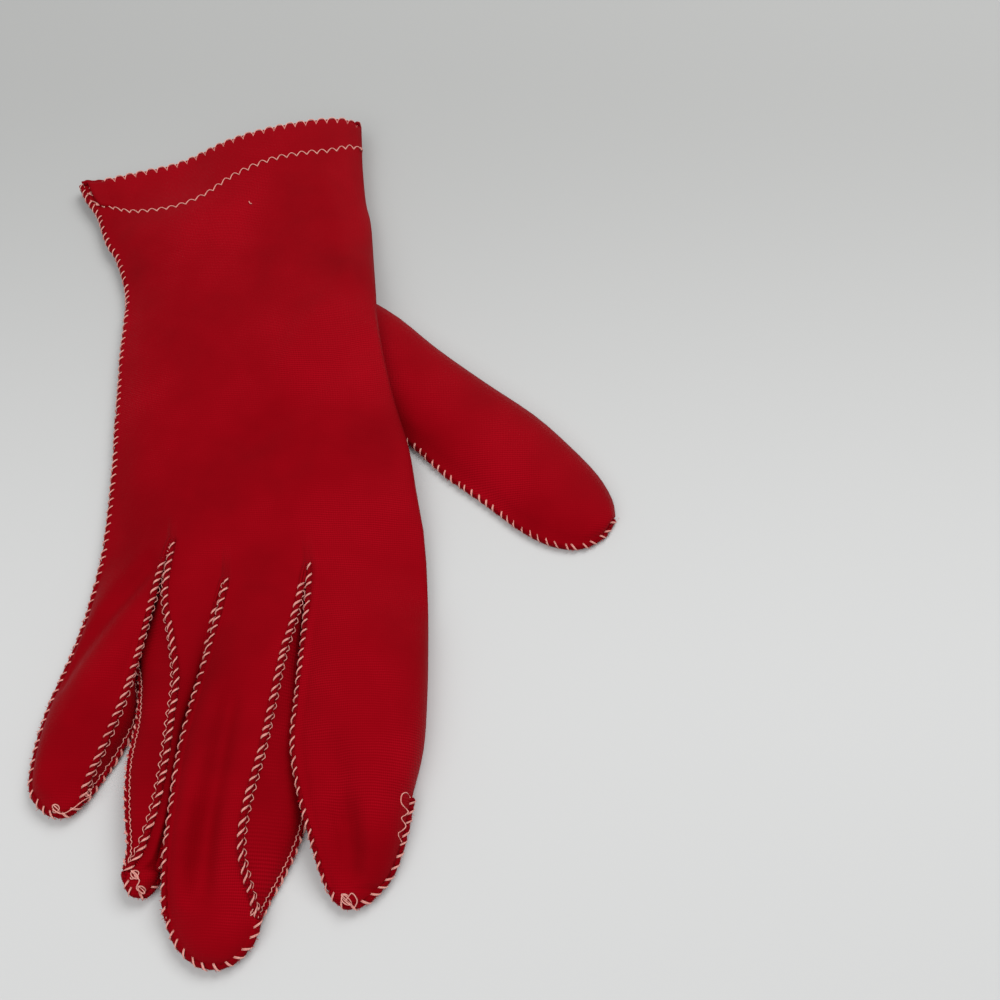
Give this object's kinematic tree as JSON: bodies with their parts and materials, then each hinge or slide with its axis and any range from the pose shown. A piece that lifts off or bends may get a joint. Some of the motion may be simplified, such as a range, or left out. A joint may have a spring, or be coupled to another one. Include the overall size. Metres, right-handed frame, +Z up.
{
  "type": "nylon dress glove",
  "caption": "Short right-hand dress glove in red nylon, lying palm down, hollow and open at the cuff, with a turned-up hem, a set-in thumb, finger gussets and raw outseams.",
  "frame": {"origin": "on the surface that the glove lies on, under the middle of its bounding box", "axes": "+Z up, away from that surface; +Y along the glove, from the fingertips to the cuff; +X across it, towards the thumb"},
  "size_m": [0.1618, 0.2472, 0.0139],
  "materials": {
    "red_nylon": "matte",
    "pale_thread": "satin"
  },
  "bodies": {
    "root": {"trank": "red_nylon", "cuff_hem": "red_nylon", "thumb": "red_nylon", "fourchette_little_ring": "red_nylon", "fourchette_ring_middle": "red_nylon", "fourchette_middle_index": "red_nylon"}
  },
  "joints": []
}
